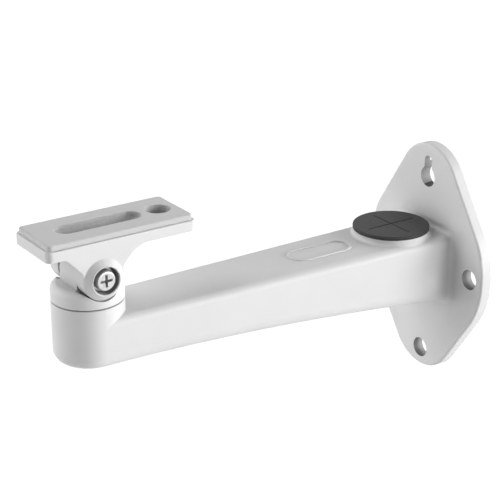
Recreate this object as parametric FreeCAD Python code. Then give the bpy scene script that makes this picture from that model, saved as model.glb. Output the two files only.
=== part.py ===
# Wall bracket for a small camera: a cast arm on a kite-shaped wall plate, with a
# swivel base and a tilting camera table at its free end.
# The wall is the plane y = 0, the arm reaches out towards -Y, and z = 0 is the
# height of the two side screw holes. Sizes are in millimetres.
import FreeCAD
import Part
import math
import os

V = FreeCAD.Vector

# Wall plate
PLATE_THICKNESS = 4.75
PLATE_HEIGHT = 97.1
PLATE_TOP_Z = 49.4
PLATE_TOP_RADIUS = 17.5
PLATE_SIDE_RADIUS = 35.0
PLATE_BOTTOM_RADIUS = 18.4
PLATE_EDGE_ROUND = 0.9
PLATE_RECESS_DEPTH = 2.0
PLATE_RIM_WIDTH = 2.6
PLATE_RIB_WIDTH = 2.4
SCREW_HOLE_RADIUS = 4.15
SCREW_HOLE_WALL = 2.2
SIDE_HOLE_MARGIN = 7.45
BOTTOM_HOLE_MARGIN = 7.5
KEYHOLE_MARGIN = 13.7
KEYHOLE_SLOT_RISE = 6.5
KEYHOLE_SLOT_RADIUS = 2.25
LOWER_RIB_Z = -27.0

# Arm
REACH_TO_SWIVEL = 160.7
ARM_ROOT_HALF_WIDTH = 17.1
ARM_ROOT_TOP_Z = 15.3
ARM_END_TOP_Z = 15.8
ARM_ROOT_BOTTOM_Z = -14.4
ARM_END_BOTTOM_Z = -2.8
ARM_UNDERSIDE_CURVE = 1.9
ARM_TOP_ROUND = 3.0
ARM_BOTTOM_ROUND = 4.6
ARM_ROOT_FILLET = 2.0
ARM_WALL = 2.8
CAVITY_ROUND = 2.0
CAVITY_END_MARGIN = 5.0

# Raised oval ring on top of the arm
RING_CENTRE_Y = -58.9
RING_HALF_LENGTH = 14.4
RING_HALF_WIDTH = 6.0
RING_LINE_WIDTH = 1.1
RING_HEIGHT = 0.5
RING_EDGE_ROUND = 0.35

# End boss under the swivel
BOSS_RADIUS = 13.2
BOSS_TOP_Z = 20.55
SPIGOT_RADIUS = 6.0
SPIGOT_CLEARANCE = 0.06
SPIGOT_LENGTH = 9.0
SPIGOT_END_GAP = 0.5
PAN_WEB_THICKNESS = 6.0
PAN_COUNTERBORE_RADIUS = 6.4

# Cable entry
CABLE_BOSS_Y = -23.1
CABLE_BOSS_RADIUS = 15.2
CABLE_BOSS_TOP_Z = 17.8
CABLE_BOSS_FOOT = 1.2
CABLE_HOLE_RADIUS = 11.5
GROMMET_RADIUS = 15.4
GROMMET_RIM = 1.5
GROMMET_EDGE_ROUND = 0.5
GROMMET_NECK_CLEARANCE = 0.05
GROMMET_NECK_WALL = 1.8
GROMMET_LIP_WIDTH = 0.9
GROMMET_LIP_HEIGHT = 1.6
GROOVE_HALF_LENGTH = 11.2
GROOVE_WIDTH = 0.7
GROOVE_DEPTH = 0.3

# Swivel base
SEAM_GAP = 0.4
LAND_INNER_RADIUS = 7.5
LAND_OUTER_RADIUS = 11.6
LAND_GAP = 0.05
SWIVEL_TOP_Z = 27.2
SWIVEL_TOP_ROUND = 2.6
SWIVEL_LOWER_CHAMFER = 0.25
TONGUE_HALF_WIDTH = 6.35
TONGUE_RADIUS = 7.3
EAR_CUT_CLEARANCE = 0.4
SEAT_MOUTH_TOP = 8.3
SEAT_MOUTH_FOOT = 4.9
SEAT_MOUTH_DEPTH = 1.8

# Tilt head
TILT_AXIS_Z = 31.7
EAR_SIDE_GAP = 0.3
EAR_RADIUS = 7.7
EAR_STRAIGHT_TOP_Z = 35.2
EAR_FLARE_HALF_WIDTH = 14.0
EAR_FLARE_ROUND = 4.0
EAR_FRONT_FILLET = 4.0
EAR_REAR_FILLET = 10.0
EAR_BOSS_HEIGHT = 2.05
EAR_BOSS_FACE_RADIUS = 5.45
TABLE_REAR_REACH = 38.0
TABLE_LENGTH = 58.9
TABLE_HALF_WIDTH = 12.65
TABLE_TOP_Z = 45.8
TABLE_THICKNESS = 3.9
TABLE_CORNER_RADIUS = 2.3
TABLE_EDGE_ROUND = 0.4
PAD_INSET = 0.95
PAD_THICKNESS = 2.0
PAD_EDGE_ROUND = 0.45
PAD_CORNER_RADIUS = 1.6
SLOT_RADIUS = 4.1
SLOT_REAR_MARGIN = 16.1
SLOT_FRONT_MARGIN = 9.7
ROUND_HOLE_MARGIN = 8.6
ROUND_HOLE_RADIUS = 4.4

# Tilt screw, its washers and nut
TILT_SHANK_RADIUS = 2.0
TILT_BORE_CLEARANCE = 0.06
TILT_HEAD_RADIUS = 3.75
TILT_HEAD_HEIGHT = 2.6
TILT_HEAD_RECESS = 0.1
TILT_HEAD_DOME = 0.8
TILT_COUNTERBORE_RADIUS = 5.05
TILT_COUNTERBORE_CHAMFER = 0.3
TILT_SPRING_THICKNESS = 1.0
TILT_SPRING_RADIUS = 3.7
TILT_WASHER_THICKNESS = 0.8
TILT_WASHER_RADIUS = 4.5
TILT_SCREW_LENGTH = 25.0
CROSS_HALF_SPAN = 2.4
CROSS_HALF_WIDTH = 0.5
CROSS_DEPTH = 1.7
CROSS_FLOOR_HALF_SPAN = 1.3
CROSS_FLOOR_HALF_WIDTH = 0.32
CROSS_PIT_RADIUS = 0.85
NUT_ACROSS_FLATS = 7.0
NUT_THICKNESS = 3.2
NUT_POCKET_CLEARANCE = 0.08
NUT_POCKET_DEPTH = 4.8

# Pan screw and its washers
PAN_SHANK_RADIUS = 2.5
PAN_HOLE_CLEARANCE = 0.3
PAN_HEAD_RADIUS = 4.25
PAN_HEAD_HEIGHT = 4.4
PAN_SOCKET_ACROSS_FLATS = 4.0
PAN_SOCKET_DEPTH = 2.5
PAN_SPRING_THICKNESS = 1.2
PAN_SPRING_RADIUS = 4.6
PAN_WASHER_THICKNESS = 1.0
PAN_WASHER_RADIUS = 5.3
PAN_SCREW_LENGTH = 14.0
THREAD_CLEARANCE = 0.02
SPLIT_WIDTH = 0.8

# Sizes that follow from the ones above
PLATE_BOTTOM_Z = PLATE_TOP_Z - PLATE_HEIGHT
SIDE_HOLE_X = PLATE_SIDE_RADIUS - SIDE_HOLE_MARGIN
BOTTOM_HOLE_Z = PLATE_BOTTOM_Z + BOTTOM_HOLE_MARGIN
KEYHOLE_Z = PLATE_TOP_Z - KEYHOLE_MARGIN
KEYHOLE_SLOT_TOP_Z = KEYHOLE_Z + KEYHOLE_SLOT_RISE
TABLE_REAR_Y = -REACH_TO_SWIVEL + TABLE_REAR_REACH
TABLE_FRONT_Y = TABLE_REAR_Y - TABLE_LENGTH
SLOT_REAR_Y = TABLE_REAR_Y - SLOT_REAR_MARGIN
SLOT_FRONT_Y = TABLE_FRONT_Y + SLOT_FRONT_MARGIN
ROUND_HOLE_Y = TABLE_REAR_Y - ROUND_HOLE_MARGIN
SWIVEL_BOTTOM_Z = BOSS_TOP_Z + SEAM_GAP
EAR_INNER_X = TONGUE_HALF_WIDTH + EAR_SIDE_GAP
EAR_BOSS_FACE_X = TABLE_HALF_WIDTH + EAR_BOSS_HEIGHT
TABLE_BOTTOM_Z = TABLE_TOP_Z - TABLE_THICKNESS
PAN_WEB_TOP_Z = BOSS_TOP_Z - SPIGOT_LENGTH - SPIGOT_END_GAP
PAN_WEB_BOTTOM_Z = PAN_WEB_TOP_Z - PAN_WEB_THICKNESS
TILT_HEAD_TOP_X = EAR_BOSS_FACE_X - TILT_HEAD_RECESS
TILT_UNDER_HEAD_X = TILT_HEAD_TOP_X - TILT_HEAD_HEIGHT
TILT_SEAT_X = TILT_UNDER_HEAD_X - TILT_SPRING_THICKNESS - TILT_WASHER_THICKNESS


# A closed outline around circles lying in the wall plane, as a face at a given y.
# The circles are given from top to bottom as (height, radius), all on x = 0.
def kite_face(circles, y):
    right = []
    for (z0, r0), (z1, r1) in zip(circles[:-1], circles[1:]):
        lean = math.asin((r1 - r0) / (z0 - z1))
        nx = math.cos(lean)
        nz = math.sin(lean)
        right.append((V(r0 * nx, y, z0 + r0 * nz), V(r1 * nx, y, z1 + r1 * nz)))
    edges = []
    top = V(0, y, circles[0][0] + circles[0][1])
    low = V(0, y, circles[-1][0] - circles[-1][1])
    left = [(V(-a.x, y, a.z), V(-b.x, y, b.z)) for a, b in right]
    edges.append(Part.Arc(left[0][0], top, right[0][0]).toShape())
    for index, (start, end) in enumerate(right):
        edges.append(Part.makeLine(start, end))
        if index + 1 < len(right):
            z, r = circles[index + 1]
            following = right[index + 1][0]
            middle = (V(end.x, 0, end.z - z) + V(following.x, 0, following.z - z)).normalize() * r
            edges.append(Part.Arc(end, V(middle.x, y, z + middle.z), following).toShape())
    edges.append(Part.Arc(right[-1][1], low, left[-1][1]).toShape())
    for index in range(len(left) - 1, -1, -1):
        start, end = left[index]
        edges.append(Part.makeLine(end, start))
        if index > 0:
            z, r = circles[index]
            previous = left[index - 1][1]
            middle = (V(start.x, 0, start.z - z) + V(previous.x, 0, previous.z - z)).normalize() * r
            edges.append(Part.Arc(start, V(middle.x, y, z + middle.z), previous).toShape())
    return Part.Face(Part.Wire(Part.__sortEdges__(edges)))


# The kite outline of the wall plate, moved inwards by an inset.
def plate_circles(inset):
    top_r = PLATE_TOP_RADIUS
    low_r = PLATE_BOTTOM_RADIUS
    return [
        (PLATE_TOP_Z - top_r, top_r - inset),
        (0.0, PLATE_SIDE_RADIUS - inset),
        (PLATE_BOTTOM_Z + low_r, low_r - inset),
    ]


# A cylinder between two heights.
def post(radius, x, y, low, high):
    return Part.makeCylinder(radius, high - low, V(x, y, low), V(0, 0, 1))


# A cylinder along X between two stations, on the tilt axis.
def axle(radius, x0, x1):
    return Part.makeCylinder(radius, x1 - x0, V(x0, -REACH_TO_SWIVEL, TILT_AXIS_Z), V(1, 0, 0))


# A box given by its two opposite corners.
def block(x0, x1, y0, y1, z0, z1):
    return Part.makeBox(x1 - x0, y1 - y0, z1 - z0, V(x0, y0, z0))


# A round hole through the wall plate.
def plate_hole(x, z, radius):
    start = V(x, -PLATE_THICKNESS - 1.0, z)
    return Part.makeCylinder(radius, PLATE_THICKNESS + 2.0, start, V(0, 1, 0))


# Points along the hollow curve of the arm's underside, from the wall to beyond the nose.
def underside_points(lift):
    drop = ARM_ROOT_BOTTOM_Z - ARM_END_BOTTOM_Z
    points = []
    for step in range(9):
        share = step / 8.0
        z = ARM_END_BOTTOM_Z + drop * (1.0 - share) ** ARM_UNDERSIDE_CURVE
        points.append(V(0, -REACH_TO_SWIVEL * share, z + lift))
    points.append(V(0, -REACH_TO_SWIVEL - 2.0 * BOSS_RADIUS, ARM_END_BOTTOM_Z + lift))
    return points


# Side view of the arm, as a slab across X, drawn in by an inset on top and below.
def side_slab(inset):
    low = underside_points(inset)
    bottom = Part.BSplineCurve()
    bottom.interpolate(low)
    root_top = V(0, 0, ARM_ROOT_TOP_Z - inset)
    slope = (ARM_END_TOP_Z - ARM_ROOT_TOP_Z) / REACH_TO_SWIVEL
    axis_top = V(0, low[-1].y, ARM_ROOT_TOP_Z - inset - slope * low[-1].y)
    edges = [
        bottom.toShape(),
        Part.makeLine(low[0], root_top),
        Part.makeLine(root_top, axis_top),
        Part.makeLine(axis_top, low[-1]),
    ]
    face = Part.Face(Part.Wire(Part.__sortEdges__(edges)))
    slab = face.extrude(V(80, 0, 0))
    slab.translate(V(-40, 0, 0))
    return slab


# Plan view of the arm, as a tall prism that narrows to a round nose about the swivel axis.
def plan_prism(half_root, nose_radius):
    lean = math.atan2(half_root, REACH_TO_SWIVEL)
    lean -= math.asin(nose_radius / math.hypot(half_root, REACH_TO_SWIVEL))
    x = nose_radius * math.cos(lean)
    y = -REACH_TO_SWIVEL - nose_radius * math.sin(lean)
    edges = [
        Part.makeLine(V(half_root, 0, -40), V(x, y, -40)),
        Part.Arc(V(x, y, -40), V(0, -REACH_TO_SWIVEL - nose_radius, -40), V(-x, y, -40)).toShape(),
        Part.makeLine(V(-x, y, -40), V(-half_root, 0, -40)),
        Part.makeLine(V(-half_root, 0, -40), V(half_root, 0, -40)),
    ]
    return Part.Face(Part.Wire(edges)).extrude(V(0, 0, 80))


# Edges of a shape that a test picks out by their middle point.
def pick_edges(shape, test):
    chosen = []
    for edge in shape.Edges:
        middle = edge.valueAt((edge.FirstParameter + edge.LastParameter) / 2.0)
        if test(edge, middle):
            chosen.append(edge)
    return chosen


# Outer form of the arm and its nose, with the long edges rounded.
def arm_form():
    body = side_slab(0.0).common(plan_prism(ARM_ROOT_HALF_WIDTH, BOSS_RADIUS))
    long_edge = REACH_TO_SWIVEL / 2.0
    low = pick_edges(body, lambda e, m: m.z < 0 and e.Length > long_edge)
    body = body.makeFillet(ARM_BOTTOM_ROUND, low)
    high = pick_edges(body, lambda e, m: m.z > 0 and e.Length > long_edge)
    return body.makeFillet(ARM_TOP_ROUND, high)


# Hollow inside the arm, open at the back of the wall plate.
def arm_cavity():
    half_root = ARM_ROOT_HALF_WIDTH - ARM_WALL
    half_end = BOSS_RADIUS - ARM_WALL
    core = side_slab(ARM_WALL).common(plan_prism(half_root, half_end))
    stop = -REACH_TO_SWIVEL + BOSS_RADIUS + CAVITY_END_MARGIN
    core = core.common(block(-40, 40, stop, 0, -40, 40)).removeSplitter()
    long_edges = pick_edges(core, lambda e, m: stop < m.y < 0 and e.Length > REACH_TO_SWIVEL / 2.0)
    core = core.makeFillet(CAVITY_ROUND, long_edges)
    mouth = core.Faces[0]
    for face in core.Faces:
        if abs(face.CenterOfMass.y) < 1e-6:
            mouth = face
    return core.fuse(mouth.extrude(V(0, 1.0, 0)))


# Wall plate with a rounded front edge.
def wall_plate():
    face = kite_face(plate_circles(0.0), 0.0)
    plate = face.extrude(V(0, -PLATE_THICKNESS, 0))
    front = pick_edges(plate, lambda e, m: abs(m.y + PLATE_THICKNESS) < 1e-6)
    return plate.makeFillet(PLATE_EDGE_ROUND, front)


# Centres of the round screw holes in the plate.
def screw_places():
    return [(-SIDE_HOLE_X, 0.0), (SIDE_HOLE_X, 0.0), (0.0, BOTTOM_HOLE_Z)]


# Shallow recess in the back of the plate, with ribs and screw bosses left standing in it.
def plate_recess():
    face = kite_face(plate_circles(PLATE_RIM_WIDTH), 0.5)
    recess = face.extrude(V(0, -PLATE_RECESS_DEPTH - 0.5, 0))
    half = PLATE_RIB_WIDTH / 2.0
    deep = -PLATE_RECESS_DEPTH - 1.0
    frame_half = ARM_ROOT_HALF_WIDTH
    recess = recess.cut(block(-frame_half, frame_half, deep, 1, ARM_ROOT_BOTTOM_Z, ARM_ROOT_TOP_Z))
    wide = PLATE_SIDE_RADIUS
    rib_top = KEYHOLE_Z - SCREW_HOLE_RADIUS + 0.05
    recess = recess.cut(block(-wide, wide, deep, 1, rib_top - PLATE_RIB_WIDTH, rib_top))
    recess = recess.cut(block(-half, half, deep, 1, ARM_ROOT_TOP_Z - 1, rib_top))
    recess = recess.cut(block(-wide, wide, deep, 1, LOWER_RIB_Z - half, LOWER_RIB_Z + half))
    recess = recess.cut(block(-half, half, deep, 1, LOWER_RIB_Z, ARM_ROOT_BOTTOM_Z + 1))
    for x, z in screw_places() + [(0.0, KEYHOLE_Z)]:
        recess = recess.cut(plate_hole(x, z, SCREW_HOLE_RADIUS + SCREW_HOLE_WALL))
    return recess


# Keyhole: a round opening with a narrower slot above it.
def keyhole():
    opening = plate_hole(0, KEYHOLE_Z, SCREW_HOLE_RADIUS)
    slot = plate_hole(0, KEYHOLE_SLOT_TOP_Z, KEYHOLE_SLOT_RADIUS)
    r = KEYHOLE_SLOT_RADIUS
    y0 = -PLATE_THICKNESS - 1.0
    neck = block(-r, r, y0, 1.0, KEYHOLE_Z, KEYHOLE_SLOT_TOP_Z)
    return opening.fuse(slot).fuse(neck)


# A stadium-shaped prism along Y between two end circles.
def stadium(radius, y0, y1, z0, z1):
    near = post(radius, 0, y0, z0, z1)
    far = post(radius, 0, y1, z0, z1)
    middle = block(-radius, radius, min(y0, y1), max(y0, y1), z0, z1)
    return near.fuse(far).fuse(middle).removeSplitter()


# Raised oval ring on top of the arm.
def oval_ring():
    top = ARM_ROOT_TOP_Z + (ARM_END_TOP_Z - ARM_ROOT_TOP_Z) * (-RING_CENTRE_Y / REACH_TO_SWIVEL)
    low = top - RING_LINE_WIDTH
    high = top + RING_HEIGHT
    run = RING_HALF_LENGTH - RING_HALF_WIDTH
    y0 = RING_CENTRE_Y - run
    y1 = RING_CENTRE_Y + run
    outer = stadium(RING_HALF_WIDTH, y0, y1, low, high)
    upper = pick_edges(outer, lambda e, m: abs(m.z - high) < 1e-6)
    outer = outer.makeFillet(RING_EDGE_ROUND, upper)
    inner = stadium(RING_HALF_WIDTH - RING_LINE_WIDTH, y0, y1, low - 1, high + 1)
    return outer.cut(inner)


# Whether a point lies on the side of the cable boss.
def on_cable_boss(point):
    return abs(math.hypot(point.x, point.y - CABLE_BOSS_Y) - CABLE_BOSS_RADIUS) < 1e-3


# The one-piece casting: wall plate, hollow arm, cable boss and end boss.
def bracket_body():
    body = wall_plate().fuse(arm_form()).removeSplitter()
    front = -PLATE_THICKNESS
    reach = ARM_ROOT_HALF_WIDTH + 0.5
    loop = pick_edges(body, lambda e, m: abs(m.y - front) < 1e-4 and abs(m.x) < reach and abs(m.z) < reach)
    body = body.makeFillet(ARM_ROOT_FILLET, loop)
    start = ARM_END_TOP_Z - 2 * ARM_TOP_ROUND
    body = body.fuse(post(BOSS_RADIUS, 0, -REACH_TO_SWIVEL, start, BOSS_TOP_Z)).removeSplitter()
    rim = pick_edges(body, lambda e, m: abs(m.z - BOSS_TOP_Z) < 1e-6)
    body = body.makeChamfer(SWIVEL_LOWER_CHAMFER, rim)
    cable_boss = post(CABLE_BOSS_RADIUS, 0, CABLE_BOSS_Y, 10.0, CABLE_BOSS_TOP_Z)
    body = body.fuse(cable_boss)
    low = ARM_ROOT_TOP_Z - ARM_TOP_ROUND
    foot = pick_edges(body, lambda e, m: low < m.z < CABLE_BOSS_TOP_Z - 0.5 and on_cable_boss(m))
    body = body.makeFillet(CABLE_BOSS_FOOT, foot).fuse(oval_ring())
    body = body.cut(arm_cavity())
    body = body.cut(plate_recess())
    body = body.cut(post(CABLE_HOLE_RADIUS, 0, CABLE_BOSS_Y, 5.0, CABLE_BOSS_TOP_Z + 1))
    body = body.cut(keyhole())
    for x, z in screw_places():
        body = body.cut(plate_hole(x, z, SCREW_HOLE_RADIUS))
    y = -REACH_TO_SWIVEL
    body = body.cut(post(SPIGOT_RADIUS + SPIGOT_CLEARANCE, 0, y, PAN_WEB_TOP_Z, BOSS_TOP_Z + 1))
    body = body.cut(post(PAN_SHANK_RADIUS + PAN_HOLE_CLEARANCE, 0, y, PAN_WEB_BOTTOM_Z - 1, BOSS_TOP_Z))
    return body.cut(post(PAN_COUNTERBORE_RADIUS, 0, y, ARM_END_BOTTOM_Z - 1, PAN_WEB_BOTTOM_Z))


# Rubber plug in the cable hole, with a cross scored in its face.
def cable_grommet():
    top = CABLE_BOSS_TOP_Z + GROMMET_RIM
    y = CABLE_BOSS_Y
    disc = post(GROMMET_RADIUS, 0, y, CABLE_BOSS_TOP_Z, top)
    edge = pick_edges(disc, lambda e, m: abs(m.z - top) < 1e-6)
    plug = disc.makeFillet(GROMMET_EDGE_ROUND, edge)
    neck_radius = CABLE_HOLE_RADIUS - GROMMET_NECK_CLEARANCE
    roof = ARM_ROOT_TOP_Z - ARM_WALL
    lip_low = roof - GROMMET_LIP_HEIGHT
    plug = plug.fuse(post(neck_radius, 0, y, lip_low, CABLE_BOSS_TOP_Z + 0.2))
    lip_wide = neck_radius + GROMMET_LIP_WIDTH
    lip = Part.makeCone(neck_radius - 0.3, lip_wide, GROMMET_LIP_HEIGHT - 0.1, V(0, y, lip_low))
    plug = plug.fuse(lip)
    plug = plug.cut(post(neck_radius - GROMMET_NECK_WALL, 0, y, lip_low - 1, CABLE_BOSS_TOP_Z - 0.2))
    for angle in (0, 90):
        groove = block(-GROOVE_HALF_LENGTH, GROOVE_HALF_LENGTH, y - GROOVE_WIDTH / 2.0,
                       y + GROOVE_WIDTH / 2.0, top - GROOVE_DEPTH, top + 1)
        groove.rotate(V(0, y, 0), V(0, 0, 1), angle)
        plug = plug.cut(groove)
    return plug


# Flared mouth over the round seat of one ear, between two stations across X.
def seat_mouth(x0, x1):
    y = -REACH_TO_SWIVEL
    top = SWIVEL_TOP_Z
    foot = top - SEAT_MOUTH_DEPTH
    points = [
        V(x0, y - SEAT_MOUTH_TOP, top + 1),
        V(x0, y - SEAT_MOUTH_TOP, top),
        V(x0, y - SEAT_MOUTH_FOOT, foot),
        V(x0, y + SEAT_MOUTH_FOOT, foot),
        V(x0, y + SEAT_MOUTH_TOP, top),
        V(x0, y + SEAT_MOUTH_TOP, top + 1),
    ]
    return Part.Face(Part.makePolygon(points + points[:1])).extrude(V(x1 - x0, 0, 0))


# Swivel base: a round foot with a spigot below and a tongue for the tilt joint.
def swivel_base():
    y = -REACH_TO_SWIVEL
    foot = post(BOSS_RADIUS, 0, y, SWIVEL_BOTTOM_Z, SWIVEL_TOP_Z)
    upper = pick_edges(foot, lambda e, m: abs(m.z - SWIVEL_TOP_Z) < 1e-6)
    foot = foot.makeFillet(SWIVEL_TOP_ROUND, upper)
    lower = pick_edges(foot, lambda e, m: abs(m.z - SWIVEL_BOTTOM_Z) < 1e-6)
    foot = foot.makeChamfer(SWIVEL_LOWER_CHAMFER, lower)
    t = TONGUE_HALF_WIDTH
    for x0, x1 in ((-BOSS_RADIUS - 2, -t), (t, BOSS_RADIUS + 2)):
        foot = foot.cut(axle(EAR_RADIUS + EAR_CUT_CLEARANCE, x0, x1))
        foot = foot.cut(seat_mouth(x0, x1))
    r = TONGUE_RADIUS
    tongue = block(-t, t, y - r, y + r, SWIVEL_TOP_Z - 4, TILT_AXIS_Z)
    tongue = tongue.fuse(axle(r, -t, t)).removeSplitter()
    base = foot.fuse(tongue)
    land = post(LAND_OUTER_RADIUS, 0, y, BOSS_TOP_Z + LAND_GAP, SWIVEL_BOTTOM_Z + 0.5)
    land = land.cut(post(LAND_INNER_RADIUS, 0, y, BOSS_TOP_Z, SWIVEL_BOTTOM_Z + 1))
    spigot = post(SPIGOT_RADIUS, 0, y, BOSS_TOP_Z - SPIGOT_LENGTH, SWIVEL_BOTTOM_Z + 1)
    end = pick_edges(spigot, lambda e, m: m.z < BOSS_TOP_Z - SPIGOT_LENGTH + 0.1)
    spigot = spigot.makeChamfer(0.5, end)
    base = base.fuse(land).fuse(spigot).removeSplitter()
    tap_top = BOSS_TOP_Z - SPIGOT_LENGTH + PAN_SCREW_LENGTH - PAN_WEB_THICKNESS
    base = base.cut(post(PAN_SHANK_RADIUS + THREAD_CLEARANCE, 0, y, BOSS_TOP_Z - SPIGOT_LENGTH - 1, tap_top))
    return base.cut(axle(TILT_SHANK_RADIUS + TILT_BORE_CLEARANCE, -t - 1, t + 1))


# Side view of the ears and their flare into an endless table, as a slab across X.
def ear_slab():
    y = -REACH_TO_SWIVEL
    w = EAR_RADIUS
    f = EAR_FLARE_HALF_WIDTH
    far = 2 * TABLE_LENGTH
    points = [
        V(0, y - w, TILT_AXIS_Z),
        V(0, y - w, EAR_STRAIGHT_TOP_Z),
        V(0, y - f, TABLE_BOTTOM_Z),
        V(0, y - far, TABLE_BOTTOM_Z),
        V(0, y - far, TABLE_TOP_Z),
        V(0, y + far, TABLE_TOP_Z),
        V(0, y + far, TABLE_BOTTOM_Z),
        V(0, y + f, TABLE_BOTTOM_Z),
        V(0, y + w, EAR_STRAIGHT_TOP_Z),
        V(0, y + w, TILT_AXIS_Z),
    ]
    face = Part.Face(Part.makePolygon(points + points[:1]))
    slab = face.extrude(V(2 * TABLE_HALF_WIDTH, 0, 0))
    slab.translate(V(-TABLE_HALF_WIDTH, 0, 0))
    bends = (
        (-w, EAR_STRAIGHT_TOP_Z, EAR_FLARE_ROUND),
        (w, EAR_STRAIGHT_TOP_Z, EAR_FLARE_ROUND),
        (-f, TABLE_BOTTOM_Z, EAR_FRONT_FILLET),
        (f, TABLE_BOTTOM_Z, EAR_REAR_FILLET),
    )
    for along, z, radius in bends:
        place = V(0, y + along, z)
        bend = pick_edges(slab, lambda e, m: m.distanceToPoint(place) < 1e-4)
        slab = slab.makeFillet(radius, bend)
    round_end = axle(EAR_RADIUS, -TABLE_HALF_WIDTH, TABLE_HALF_WIDTH)
    return slab.fuse(round_end).removeSplitter()


# A box as wide as the table less an inset, with rounded corners, between two heights.
def table_block(inset, corner_radius, low, high):
    w = TABLE_HALF_WIDTH - inset
    slab = block(-w, w, TABLE_FRONT_Y + inset, TABLE_REAR_Y - inset, low, high)
    middle = (low + high) / 2.0
    corners = pick_edges(slab, lambda e, m: abs(m.x) > w - 1e-4 and abs(m.z - middle) < 1e-4)
    return slab.makeFillet(corner_radius, corners)


# Table on its ears, cut to the table's length, with a softened upper rim.
def table_with_ears():
    low = TILT_AXIS_Z - 2 * EAR_RADIUS
    form = ear_slab().common(table_block(0.0, TABLE_CORNER_RADIUS, low, TABLE_TOP_Z))
    rim = pick_edges(form, lambda e, m: abs(m.z - TABLE_TOP_Z) < 1e-6)
    return form.makeFillet(TABLE_EDGE_ROUND, rim)


# A through slot and a through hole for the camera's screws, between two heights.
def screw_openings(low, high):
    ends = (SLOT_REAR_Y - SLOT_RADIUS, SLOT_FRONT_Y + SLOT_RADIUS)
    slot = stadium(SLOT_RADIUS, ends[0], ends[1], low, high)
    return slot, post(ROUND_HOLE_RADIUS, 0, ROUND_HOLE_Y, low, high)


# A six-sided prism along an axis.
def hexagon(across_flats, start, direction, length, turn):
    radius = across_flats / 2.0 / math.cos(math.radians(30))
    points = []
    for step in range(6):
        angle = math.radians(60 * step + turn)
        if abs(direction.x) > 0.5:
            points.append(start + V(0, radius * math.cos(angle), radius * math.sin(angle)))
        else:
            points.append(start + V(radius * math.cos(angle), radius * math.sin(angle), 0))
    face = Part.Face(Part.makePolygon(points + points[:1]))
    return face.extrude(direction * length)


# Tilt head: the camera table with two ears that straddle the tongue.
def tilt_head():
    y = -REACH_TO_SWIVEL
    head = table_with_ears()
    face_x = EAR_BOSS_FACE_X
    for side in (-1, 1):
        start = V(side * TABLE_HALF_WIDTH, y, TILT_AXIS_Z)
        boss = Part.makeCone(EAR_RADIUS, EAR_BOSS_FACE_RADIUS, EAR_BOSS_HEIGHT, start, V(side, 0, 0))
        head = head.fuse(boss)
    head = head.removeSplitter()
    i = EAR_INNER_X
    run = EAR_FLARE_HALF_WIDTH + EAR_REAR_FILLET
    head = head.cut(block(-i, i, y - run, y + run, TILT_AXIS_Z - 2 * EAR_RADIUS, TABLE_BOTTOM_Z))
    for opening in screw_openings(TABLE_BOTTOM_Z - 1, TABLE_TOP_Z + 1):
        head = head.cut(opening)
    head = head.cut(axle(TILT_COUNTERBORE_RADIUS, TILT_SEAT_X, face_x + 1))
    c = TILT_COUNTERBORE_CHAMFER
    rim = Part.makeCone(TILT_COUNTERBORE_RADIUS, TILT_COUNTERBORE_RADIUS + c + 0.1, c + 0.1,
                        V(face_x - c, y, TILT_AXIS_Z), V(1, 0, 0))
    head = head.cut(rim)
    head = head.cut(axle(TILT_SHANK_RADIUS + TILT_BORE_CLEARANCE, -face_x - 1, face_x + 1))
    pocket = hexagon(NUT_ACROSS_FLATS + 2 * NUT_POCKET_CLEARANCE, V(-face_x - 1, y, TILT_AXIS_Z),
                     V(1, 0, 0), NUT_POCKET_DEPTH + 1.0, 0)
    return head.cut(pocket)


# Grippy pad on the table, with the same slot and hole.
def camera_pad():
    high = TABLE_TOP_Z + PAD_THICKNESS
    pad = table_block(PAD_INSET, PAD_CORNER_RADIUS, TABLE_TOP_Z, high)
    for opening in screw_openings(TABLE_TOP_Z - 1, high + 1):
        pad = pad.cut(opening)
    edges = pick_edges(pad, lambda e, m: abs(m.z - high) < 1e-6)
    return pad.makeFillet(PAD_EDGE_ROUND, edges)


# Cross recess of the tilt screw: two tapered slots and a centre pit.
def cross_recess(top_x):
    y = -REACH_TO_SWIVEL
    shape = None
    high = top_x + 0.1
    low = top_x - CROSS_DEPTH
    a = CROSS_HALF_SPAN
    b = CROSS_HALF_WIDTH
    c = CROSS_FLOOR_HALF_SPAN
    d = CROSS_FLOOR_HALF_WIDTH
    for turn in (0, 90):
        wide = Part.makePolygon([
            V(high, -a, -b), V(high, a, -b), V(high, a, b), V(high, -a, b), V(high, -a, -b)])
        deep = Part.makePolygon([
            V(low, -c, -d), V(low, c, -d), V(low, c, d), V(low, -c, d), V(low, -c, -d)])
        arm = Part.makeLoft([wide, deep], True, True)
        arm.rotate(V(0, 0, 0), V(1, 0, 0), turn)
        shape = arm if shape is None else shape.fuse(arm)
    pit = Part.makeCone(CROSS_PIT_RADIUS, CROSS_HALF_WIDTH, CROSS_DEPTH + 0.2, V(high, 0, 0), V(-1, 0, 0))
    shape = shape.fuse(pit)
    shape.translate(V(0, y, TILT_AXIS_Z))
    return shape


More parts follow.
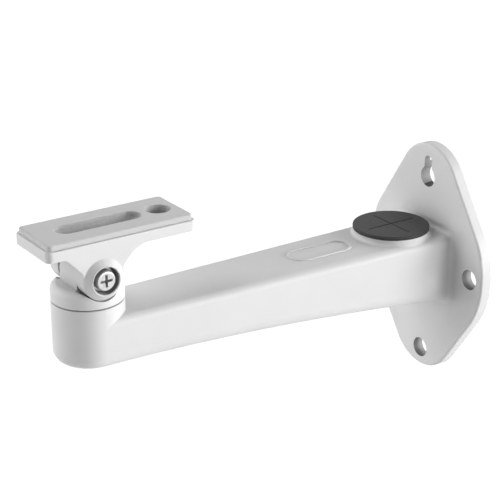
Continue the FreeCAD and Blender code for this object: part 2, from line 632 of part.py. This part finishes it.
# Pan-head tilt screw, through both ears and the tongue.
def tilt_screw():
    top = TILT_HEAD_TOP_X
    under = TILT_UNDER_HEAD_X
    y = -REACH_TO_SWIVEL
    r = TILT_HEAD_RADIUS
    shank = TILT_SHANK_RADIUS
    tip = under - TILT_SCREW_LENGTH
    dome = TILT_HEAD_DOME
    shoulder = top - dome
    edges = [
        Part.makeLine(V(tip, 0, 0), V(tip, 0, shank - 0.4)),
        Part.makeLine(V(tip, 0, shank - 0.4), V(tip + 0.4, 0, shank)),
        Part.makeLine(V(tip + 0.4, 0, shank), V(under, 0, shank)),
        Part.makeLine(V(under, 0, shank), V(under, 0, r)),
        Part.makeLine(V(under, 0, r), V(shoulder, 0, r)),
        Part.Arc(V(shoulder, 0, r), V(top - 0.24 * dome, 0, r - 0.32 * dome), V(top, 0, r - 1.2 * dome)).toShape(),
        Part.makeLine(V(top, 0, r - 1.2 * dome), V(top, 0, 0)),
        Part.makeLine(V(top, 0, 0), V(tip, 0, 0)),
    ]
    face = Part.Face(Part.Wire(Part.__sortEdges__(edges)))
    screw = face.revolve(V(0, 0, 0), V(1, 0, 0), 360)
    screw.translate(V(0, y, TILT_AXIS_Z))
    return screw.cut(cross_recess(top))


# A flat ring with an optional saw cut, lying across an axis.
def ring(inner, outer, start, direction, thickness, split):
    body = Part.makeCylinder(outer, thickness, start, direction)
    body = body.cut(Part.makeCylinder(inner, thickness, start, direction))
    if split:
        if abs(direction.x) > 0.5:
            gap = Part.makeBox(thickness + 4, SPLIT_WIDTH, outer + 2, start - V(2, SPLIT_WIDTH / 2, 0))
            gap.rotate(start, V(0, 1, 0), 12)
        else:
            gap = Part.makeBox(SPLIT_WIDTH, outer + 2, thickness + 4, start - V(SPLIT_WIDTH / 2, 0, 2))
            gap.rotate(start, V(0, 1, 0), 12)
        body = body.cut(gap)
    return body


# Washers under the head of the tilt screw.
def tilt_spring_washer():
    start = V(TILT_UNDER_HEAD_X - TILT_SPRING_THICKNESS, -REACH_TO_SWIVEL, TILT_AXIS_Z)
    inner = TILT_SHANK_RADIUS + 0.1
    return ring(inner, TILT_SPRING_RADIUS, start, V(1, 0, 0), TILT_SPRING_THICKNESS, True)


def tilt_flat_washer():
    start = V(TILT_SEAT_X, -REACH_TO_SWIVEL, TILT_AXIS_Z)
    inner = TILT_SHANK_RADIUS + 0.15
    return ring(inner, TILT_WASHER_RADIUS, start, V(1, 0, 0), TILT_WASHER_THICKNESS, False)


# Nut held in the pocket of the far ear.
def tilt_nut():
    y = -REACH_TO_SWIVEL
    x = -EAR_BOSS_FACE_X + NUT_POCKET_DEPTH - NUT_THICKNESS
    nut = hexagon(NUT_ACROSS_FLATS, V(x, y, TILT_AXIS_Z), V(1, 0, 0), NUT_THICKNESS, 0)
    corner = NUT_ACROSS_FLATS / 2.0 / math.cos(math.radians(30))
    barrel = Part.makeCone(corner - 0.45, corner + 1.4, NUT_THICKNESS, V(x, y, TILT_AXIS_Z), V(1, 0, 0))
    nut = nut.common(barrel)
    return nut.cut(axle(TILT_SHANK_RADIUS + THREAD_CLEARANCE, x - 1, x + NUT_THICKNESS + 1))


# Socket screw that holds the swivel down, driven from below.
def pan_screw():
    y = -REACH_TO_SWIVEL
    under = PAN_WEB_BOTTOM_Z - PAN_WASHER_THICKNESS - PAN_SPRING_THICKNESS - LAND_GAP
    low = under - PAN_HEAD_HEIGHT
    head = post(PAN_HEAD_RADIUS, 0, y, low, under)
    rim = pick_edges(head, lambda e, m: m.z < low + 0.1)
    head = head.makeChamfer(0.4, rim)
    socket = hexagon(PAN_SOCKET_ACROSS_FLATS, V(0, y, low - 0.1), V(0, 0, 1), PAN_SOCKET_DEPTH + 0.1, 0)
    shank = post(PAN_SHANK_RADIUS, 0, y, under - 0.5, under + PAN_SCREW_LENGTH)
    end = pick_edges(shank, lambda e, m: m.z > under + PAN_SCREW_LENGTH - 0.1)
    shank = shank.makeChamfer(0.5, end)
    return head.fuse(shank).removeSplitter().cut(socket)


def pan_spring_washer():
    z = PAN_WEB_BOTTOM_Z - PAN_WASHER_THICKNESS - PAN_SPRING_THICKNESS - LAND_GAP
    start = V(0, -REACH_TO_SWIVEL, z)
    inner = PAN_SHANK_RADIUS + 0.1
    return ring(inner, PAN_SPRING_RADIUS, start, V(0, 0, 1), PAN_SPRING_THICKNESS, True)


def pan_flat_washer():
    start = V(0, -REACH_TO_SWIVEL, PAN_WEB_BOTTOM_Z - PAN_WASHER_THICKNESS - LAND_GAP)
    inner = PAN_SHANK_RADIUS + 0.15
    return ring(inner, PAN_WASHER_RADIUS, start, V(0, 0, 1), PAN_WASHER_THICKNESS, False)


os.makedirs("parts", exist_ok=True)
bracket_body().exportStep("parts/bracket_body.step")
cable_grommet().exportStep("parts/cable_grommet.step")
swivel_base().exportStep("parts/swivel_base.step")
pan_screw().exportStep("parts/pan_screw.step")
pan_spring_washer().exportStep("parts/pan_spring_washer.step")
pan_flat_washer().exportStep("parts/pan_flat_washer.step")
tilt_head().exportStep("parts/tilt_head.step")
camera_pad().exportStep("parts/camera_pad.step")
tilt_screw().exportStep("parts/tilt_screw.step")
tilt_spring_washer().exportStep("parts/tilt_spring_washer.step")
tilt_flat_washer().exportStep("parts/tilt_flat_washer.step")
tilt_nut().exportStep("parts/tilt_nut.step")
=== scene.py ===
import bpy
import math
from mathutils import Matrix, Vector


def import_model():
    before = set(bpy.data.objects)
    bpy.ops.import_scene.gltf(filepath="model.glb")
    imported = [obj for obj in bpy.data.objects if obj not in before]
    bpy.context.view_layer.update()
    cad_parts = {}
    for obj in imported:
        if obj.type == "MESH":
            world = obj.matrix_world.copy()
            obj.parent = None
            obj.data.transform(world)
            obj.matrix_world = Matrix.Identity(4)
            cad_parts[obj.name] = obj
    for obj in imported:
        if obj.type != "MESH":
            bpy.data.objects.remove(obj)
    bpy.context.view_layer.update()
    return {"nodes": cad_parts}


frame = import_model()

# Camera, in metres and degrees, without roll or shift, as fitted to the photograph's outline
CAMERA_AZIMUTH = 55.91
CAMERA_ELEVATION = 21.67
CAMERA_DISTANCE = 0.56938
CAMERA_TARGET = (-0.00473, -0.08825, 0.02082)
CAMERA_LENS = 107.63
CAMERA_SENSOR = 36.0
CAMERA_CLIP = 0.01

# Room: the floor's own colour, and how it shows to the camera, as white light plus a faint shadow
FLOOR_Z = -0.36
FLOOR_SIZE = 14.0
FLOOR_COLOUR = (0.80, 0.80, 0.80)
FLOOR_SHOWN_WHITE = 0.985
FLOOR_SHOWN_COLOUR = (0.16, 0.16, 0.16)
WHITE = (1.0, 1.0, 1.0)
WORLD_STRENGTH = 0.004

# Lamps: name, azimuth and elevation in degrees as seen from the bracket, and watts
LAMPS = [
    ("left_low", -30.0, 5.0, 24.0),
    ("left_middle", -30.0, 25.0, 11.5),
    ("left_high", -30.0, 50.0, 14.0),
    ("far_left", -60.0, 40.0, 17.5),
    ("side", 95.0, 12.0, 10.0),
    ("right", 115.0, 12.0, 23.5),
    ("right_rear", 140.0, 12.0, 52.0),
    ("rear", 165.0, 10.0, 19.0),
    ("rear_high", 235.0, 45.0, 6.5),
]
LAMP_DISTANCE = 3.0
LAMP_SIZE = 1.5
LAMP_TARGET = (0.0, -0.09, 0.01)

# Powder coat, with the radius of its soft edges, and the reach and share of the shade painted into its
# creases
COAT_COLOUR = (0.82, 0.82, 0.82)
COAT_ROUGHNESS = 0.46
COAT_EDGE = 0.0003
CREASE_SHADE_REACH = 0.009
CREASE_SHADE_SHARE = 0.33

# Other colours
RUBBER_COLOUR = (0.035, 0.035, 0.036)
PAD_COLOUR = (0.69, 0.69, 0.69)
STEEL_COLOUR = (0.60, 0.60, 0.60)

# Colours inside openings, darker than the coat and pad as painted shade. The wall bores change theirs
# over a step along Y, from painted shade at the front to painted light behind.
OPENING_SHADE_COLOUR = (0.38, 0.38, 0.38)
SLOT_SHADE_COLOUR = (0.60, 0.60, 0.60)
PAD_OPENING_SHADE_COLOUR = (0.50, 0.50, 0.50)
KEYHOLE_SHADE_COLOUR = (0.07, 0.07, 0.07)
BORE_FRONT_SHADE_COLOUR = (0.17, 0.17, 0.17)
BORE_BACK_LIT_COLOUR = (0.40, 0.40, 0.40)
BORE_STEP = (-0.0030, -0.0012)

# Openings with their own painted shade, and painted light in the wall bores, in metres: node, axis
# across, the centre of a hole or the two ends of a slot's centre line, radius, and stretch along the
# axis. Faces within the radius and a slack count.
X, Y, Z = 0, 1, 2
SLACK = 0.00002
TILT_AXIS = (0.0, -0.1607, 0.0317)
HOLE_RADIUS = 0.00415
IN_PLATE = (-0.01, 0.01)
IN_TABLE = (0.041, 0.05)
IN_PAD = (0.0459, 0.0477)
# The three bores for wall screws
BORES = [
    ("bracket_body", Y, [(0.02755, 0.0, 0.0)], HOLE_RADIUS, IN_PLATE),
    ("bracket_body", Y, [(-0.02755, 0.0, 0.0)], HOLE_RADIUS, IN_PLATE),
    ("bracket_body", Y, [(0.0, 0.0, -0.0402)], HOLE_RADIUS, IN_PLATE),
]
# The counterbore round the tilt screw, the flank and recess of its head, the keyhole, and the round
# hole, darkened as painted shade
SHADED_OPENINGS = [
    ("tilt_head", X, [TILT_AXIS], 0.00505, (0.005, 0.02)),
    ("tilt_screw", X, [TILT_AXIS], 0.0038, (0.0121, 0.01452)),
    ("bracket_body", Y, [(0.0, 0.0, 0.0357)], HOLE_RADIUS, IN_PLATE),
    ("bracket_body", Y, [(0.0, 0.0, 0.0357), (0.0, 0.0, 0.0422)], 0.00225, IN_PLATE),
    ("tilt_head", Z, [(0.0, -0.1313, 0.0)], 0.0044, IN_TABLE),
]
# The slot of the table, darkened as painted shade
SHADED_SLOT = [
    ("tilt_head", Z, [(0.0, -0.1429, 0.0), (0.0, -0.1679, 0.0)], 0.0041, IN_TABLE),
]
# The hole and the slot of the pad, darkened as painted shade
SHADED_PAD_OPENINGS = [
    ("camera_pad", Z, [(0.0, -0.1313, 0.0)], 0.0046, IN_PAD),
    ("camera_pad", Z, [(0.0, -0.1429, 0.0), (0.0, -0.1679, 0.0)], 0.0043, IN_PAD),
]
# The lower end of the keyhole, darkened as painted shade
KEYHOLE_DARK_END = [
    ("bracket_body", Y, [(0.0010, 0.0, 0.0330)], 0.0034, IN_PLATE),
]


# A new node in a material's tree, with its inputs set by name.
def add(tree, kind, **values):
    node = tree.nodes.new(kind)
    for name, value in values.items():
        node.inputs[name.replace("_", " ")].default_value = value
    return node


# A link from an output to an input.
def join(tree, source, target):
    tree.links.new(source, target)


# A colour with its alpha, made darker or paler by a factor.
def rgba(colour, factor=1.0):
    return (*[min(1.0, value * factor) for value in colour], 1.0)


# A fresh material whose colour, roughness, metal and other even values sit on the shader itself.
def shader(name, colour, roughness, metal=0.0, specular=0.5):
    material = bpy.data.materials.new(name)
    material.use_nodes = True
    tree = material.node_tree
    body = tree.nodes["Principled BSDF"]
    body.inputs["Base Color"].default_value = rgba(colour)
    body.inputs["Roughness"].default_value = roughness
    body.inputs["Metallic"].default_value = metal
    body.inputs["Specular IOR Level"].default_value = specular
    return material, tree, body


# The object's own space, in metres.
def own_place(tree):
    return tree.nodes.new("ShaderNodeTexCoord").outputs["Object"]


# Noise over the object's own space, with about that many grains to the metre.
def grain(tree, scale, detail, roughness=0.5):
    noise = add(tree, "ShaderNodeTexNoise", Scale=scale, Detail=detail, Roughness=roughness)
    join(tree, own_place(tree), noise.inputs["Vector"])
    return noise.outputs["Fac"]


# Maps a value that runs from start to stop onto low to high. Noise keeps mostly to 0.3 to 0.7.
def spread(tree, value, low, high, start=0.3, stop=0.7):
    node = add(tree, "ShaderNodeMapRange", From_Min=start, From_Max=stop, To_Min=low, To_Max=high)
    join(tree, value, node.inputs["Value"])
    return node.outputs["Result"]


# The shader's colour, from low to high as the value goes from 0 to 1.
def tint(tree, body, value, low, high):
    mix = tree.nodes.new("ShaderNodeMix")
    mix.data_type = "RGBA"
    mix.inputs["A"].default_value = low
    mix.inputs["B"].default_value = high
    join(tree, value, mix.inputs["Factor"])
    join(tree, mix.outputs["Result"], body.inputs["Base Color"])
    return mix


# A colour that wanders by a share of itself, with the value.
def mottle(tree, body, value, colour, share):
    shades = rgba(colour, 1.0 - share), rgba(colour, 1.0 + share)
    return tint(tree, body, spread(tree, value, 0.0, 1.0), *shades)


# Paints shade into a colour in tight corners, where little light reaches, by ambient occlusion.
def paint_crease_shade(tree, body, shade, colour):
    near = add(tree, "ShaderNodeAmbientOcclusion", Distance=CREASE_SHADE_REACH)
    near.samples = 8
    openness = spread(tree, near.outputs["AO"], 0.0, 1.0, start=0.3, stop=0.95)
    mix = tint(tree, body, openness, rgba(colour, 1.0 - CREASE_SHADE_SHARE), rgba(colour))
    join(tree, shade.outputs["Result"], mix.inputs["B"])


# Roughness that wanders from low to high with the value.
def wear(tree, body, value, low, high):
    join(tree, spread(tree, value, low, high), body.inputs["Roughness"])


# Bumps of a given height in metres, on edges softened to a given radius.
def relief(tree, body, value, height, edge=0.0):
    bump = add(tree, "ShaderNodeBump", Strength=1.0, Distance=height)
    join(tree, value, bump.inputs["Height"])
    if edge > 0.0:
        soft = add(tree, "ShaderNodeBevel", Radius=edge)
        soft.samples = 6
        join(tree, soft.outputs["Normal"], bump.inputs["Normal"])
    join(tree, bump.outputs["Normal"], body.inputs["Normal"])


# White powder coat: fine orange-peel skin on softly rounded casting edges.
def coat():
    material, tree, body = shader("white_coat", COAT_COLOUR, COAT_ROUGHNESS)
    fine = grain(tree, scale=1500.0, detail=2.0)
    broad = grain(tree, scale=70.0, detail=3.0)
    shade = mottle(tree, body, broad, COAT_COLOUR, share=0.012)
    # Shade painted into the creases
    paint_crease_shade(tree, body, shade, COAT_COLOUR)
    wear(tree, body, fine, COAT_ROUGHNESS - 0.05, COAT_ROUGHNESS + 0.07)
    relief(tree, body, fine, height=0.000012, edge=COAT_EDGE)
    return material


# Painted shade inside bores and slots: a darker colour, finely mottled and grained.
def opening_shade(name, colour):
    material, tree, body = shader(name, colour, 0.55, specular=0.3)
    fine = grain(tree, scale=1800.0, detail=3.0)
    mottle(tree, body, fine, colour, share=0.08)
    wear(tree, body, fine, 0.48, 0.66)
    relief(tree, body, fine, height=0.00002)
    return material


# The wall bores: dark at the front and paler behind the step, as painted shade and painted light.
def bore():
    material, tree, body = shader("bore", BORE_FRONT_SHADE_COLOUR, 0.55, specular=0.3)
    apart = tree.nodes.new("ShaderNodeSeparateXYZ")
    join(tree, own_place(tree), apart.inputs["Vector"])
    depth = spread(tree, apart.outputs["Y"], 0.0, 1.0, *BORE_STEP)
    tint(tree, body, depth, rgba(BORE_FRONT_SHADE_COLOUR), rgba(BORE_BACK_LIT_COLOUR))
    relief(tree, body, grain(tree, scale=1800.0, detail=3.0), height=0.00002)
    return material


# Gives the faces within the radius of an opening's centre line a material of their own, which paints the
# shade and light inside the opening.
def line(material, openings):
    for node, axis, ends, radius, stretch in openings:
        piece = frame["nodes"][node]
        if material.name not in piece.data.materials:
            piece.data.materials.append(material)
        index = piece.data.materials.find(material.name)
        start = Vector(ends[0])
        run = Vector(ends[-1]) - start
        for face in piece.data.polygons:
            if not stretch[0] < face.center[axis] < stretch[1]:
                continue
            place = face.center - start
            place[axis] = 0.0
            share = place.dot(run) / run.length_squared if run.length > 0.0 else 0.0
            off_line = place - run * min(1.0, max(0.0, share))
            if off_line.length < radius + SLACK:
                face.material_index = index


# Dark moulded rubber with a dusty matt skin.
def rubber():
    material, tree, body = shader("dark_rubber", RUBBER_COLOUR, 0.62, specular=0.35)
    fine = grain(tree, scale=2600.0, detail=3.0)
    broad = grain(tree, scale=160.0, detail=4.0)
    mottle(tree, body, broad, RUBBER_COLOUR, share=0.10)
    wear(tree, body, fine, 0.55, 0.72)
    relief(tree, body, fine, height=0.00002, edge=0.0003)
    return material


# Pale grey rubber of the camera pad, lightly grained.
def pad():
    material, tree, body = shader("grey_pad", PAD_COLOUR, 0.85)
    body.inputs["Sheen Weight"].default_value = 0.5
    fine = grain(tree, scale=2200.0, detail=4.0, roughness=0.6)
    broad = grain(tree, scale=90.0, detail=3.0)
    mottle(tree, body, broad, PAD_COLOUR, share=0.02)
    wear(tree, body, fine, 0.78, 0.92)
    relief(tree, body, fine, height=0.000025, edge=0.0003)
    return material


# Zinc-plated steel, turned, with faint ring marks about an axis through the centre.
def steel(name, axis, centre):
    material, tree, body = shader(name, STEEL_COLOUR, 0.30, metal=1.0)
    shift = tree.nodes.new("ShaderNodeVectorMath")
    shift.operation = "SUBTRACT"
    shift.inputs[1].default_value = centre
    flat = tree.nodes.new("ShaderNodeVectorMath")
    flat.operation = "MULTIPLY"
    flat.inputs[1].default_value = [0.0 if i == axis else 1.0 for i in (X, Y, Z)]
    reach = tree.nodes.new("ShaderNodeVectorMath")
    reach.operation = "LENGTH"
    join(tree, own_place(tree), shift.inputs[0])
    join(tree, shift.outputs["Vector"], flat.inputs[0])
    join(tree, flat.outputs["Vector"], reach.inputs[0])
    rings = add(tree, "ShaderNodeTexNoise", Scale=9000.0, Detail=1.0)
    rings.noise_dimensions = "1D"
    join(tree, reach.outputs["Value"], rings.inputs["W"])
    smudge = grain(tree, scale=700.0, detail=3.0)
    mottle(tree, body, smudge, STEEL_COLOUR, share=0.06)
    wear(tree, body, smudge, 0.24, 0.38)
    relief(tree, body, rings.outputs["Fac"], height=0.000006, edge=0.0001)
    return material


# Gives a node of the frame its finish.
def dress(node, material):
    piece = frame["nodes"][node]
    piece.data.materials.clear()
    piece.data.materials.append(material)


# 1 for rays from the camera, and for those that reflections and clear materials send on, else 0.
def shown(tree):
    path = tree.nodes.new("ShaderNodeLightPath")
    total = path.outputs["Is Camera Ray"]
    for name in ("Is Glossy Ray", "Is Transmission Ray"):
        either = tree.nodes.new("ShaderNodeMath")
        either.operation = "MAXIMUM"
        join(tree, total, either.inputs[0])
        join(tree, path.outputs[name], either.inputs[1])
        total = either.outputs[0]
    return total


# Ends a tree with one shader for the light that falls on the object and another for what is shown.
def split(tree, lighting, display, target):
    mix = tree.nodes.new("ShaderNodeMixShader")
    join(tree, shown(tree), mix.inputs[0])
    join(tree, lighting.outputs[0], mix.inputs[1])
    join(tree, display.outputs[0], mix.inputs[2])
    join(tree, mix.outputs[0], target.inputs["Surface"])


# Pale floor far below, shown as white but for the object's faint shadow.
def floor():
    bpy.ops.mesh.primitive_plane_add(size=FLOOR_SIZE, location=(0.0, 0.0, FLOOR_Z))
    plane = bpy.context.object
    plane.name = "floor"
    material = bpy.data.materials.new("floor")
    material.use_nodes = True
    tree = material.node_tree
    tree.nodes.remove(tree.nodes["Principled BSDF"])
    full = add(tree, "ShaderNodeBsdfDiffuse", Color=rgba(FLOOR_COLOUR))
    faint = add(tree, "ShaderNodeBsdfDiffuse", Color=rgba(FLOOR_SHOWN_COLOUR))
    glow = add(tree, "ShaderNodeEmission", Strength=FLOOR_SHOWN_WHITE)
    total = tree.nodes.new("ShaderNodeAddShader")
    join(tree, glow.outputs[0], total.inputs[0])
    join(tree, faint.outputs[0], total.inputs[1])
    split(tree, full, total, tree.nodes["Material Output"])
    plane.data.materials.append(material)


# Dim even surroundings that are shown as white.
def world():
    room = bpy.data.worlds.new("room")
    bpy.context.scene.world = room
    room.use_nodes = True
    tree = room.node_tree
    dim = tree.nodes["Background"]
    dim.inputs["Color"].default_value = rgba(WHITE)
    dim.inputs["Strength"].default_value = WORLD_STRENGTH
    white = add(tree, "ShaderNodeBackground", Color=rgba(WHITE), Strength=1.0)
    split(tree, dim, white, tree.nodes["World Output"])


# A direction from azimuth and elevation, azimuth 0 being towards -Y and 90 towards +X.
def heading(azimuth, elevation):
    a = math.radians(azimuth)
    e = math.radians(elevation)
    return Vector((math.sin(a) * math.cos(e), -math.cos(a) * math.cos(e), math.sin(e)))


# Sets a lamp or camera at a distance from the target, and turns it to look there.
def aim(name, data, target, azimuth, elevation, distance):
    thing = bpy.data.objects.new(name, data)
    bpy.context.scene.collection.objects.link(thing)
    back = heading(azimuth, elevation)
    thing.location = Vector(target) + back * distance
    thing.rotation_euler = back.to_track_quat("Z", "Y").to_euler()
    return thing


# Soft round lamps, as strong as the photograph's grey levels ask.
def lamps():
    for name, azimuth, elevation, watts in LAMPS:
        data = bpy.data.lights.new(name, "AREA")
        data.shape = "DISK"
        data.size = LAMP_SIZE
        data.energy = watts
        aim(name, data, LAMP_TARGET, azimuth, elevation, LAMP_DISTANCE)


# The photograph's camera.
def camera():
    data = bpy.data.cameras.new("camera")
    data.lens = CAMERA_LENS
    data.sensor_width = CAMERA_SENSOR
    data.clip_start = CAMERA_CLIP
    eye = aim("camera", data, CAMERA_TARGET, CAMERA_AZIMUTH, CAMERA_ELEVATION, CAMERA_DISTANCE)
    bpy.context.scene.camera = eye


# Finishes on all twelve nodes, then painted shade and light in their openings. The keyhole's darkest
# painted shade comes last, over the rest of the keyhole.
def finishes():
    white = coat()
    across = steel("zinc_steel_across", X, TILT_AXIS)
    upright = steel("zinc_steel_upright", Z, TILT_AXIS)
    for node in ("bracket_body", "swivel_base", "tilt_head"):
        dress(node, white)
    dress("cable_grommet", rubber())
    dress("camera_pad", pad())
    for node in ("tilt_screw", "tilt_spring_washer", "tilt_flat_washer", "tilt_nut"):
        dress(node, across)
    for node in ("pan_screw", "pan_spring_washer", "pan_flat_washer"):
        dress(node, upright)
    line(bore(), BORES)
    line(opening_shade("opening_painted_shade", OPENING_SHADE_COLOUR), SHADED_OPENINGS)
    line(opening_shade("slot_painted_shade", SLOT_SHADE_COLOUR), SHADED_SLOT)
    line(opening_shade("pad_opening_painted_shade", PAD_OPENING_SHADE_COLOUR), SHADED_PAD_OPENINGS)
    line(opening_shade("keyhole_painted_shade", KEYHOLE_SHADE_COLOUR), KEYHOLE_DARK_END)


finishes()
floor()
world()
lamps()
camera()
bpy.context.scene.view_settings.view_transform = "Standard"
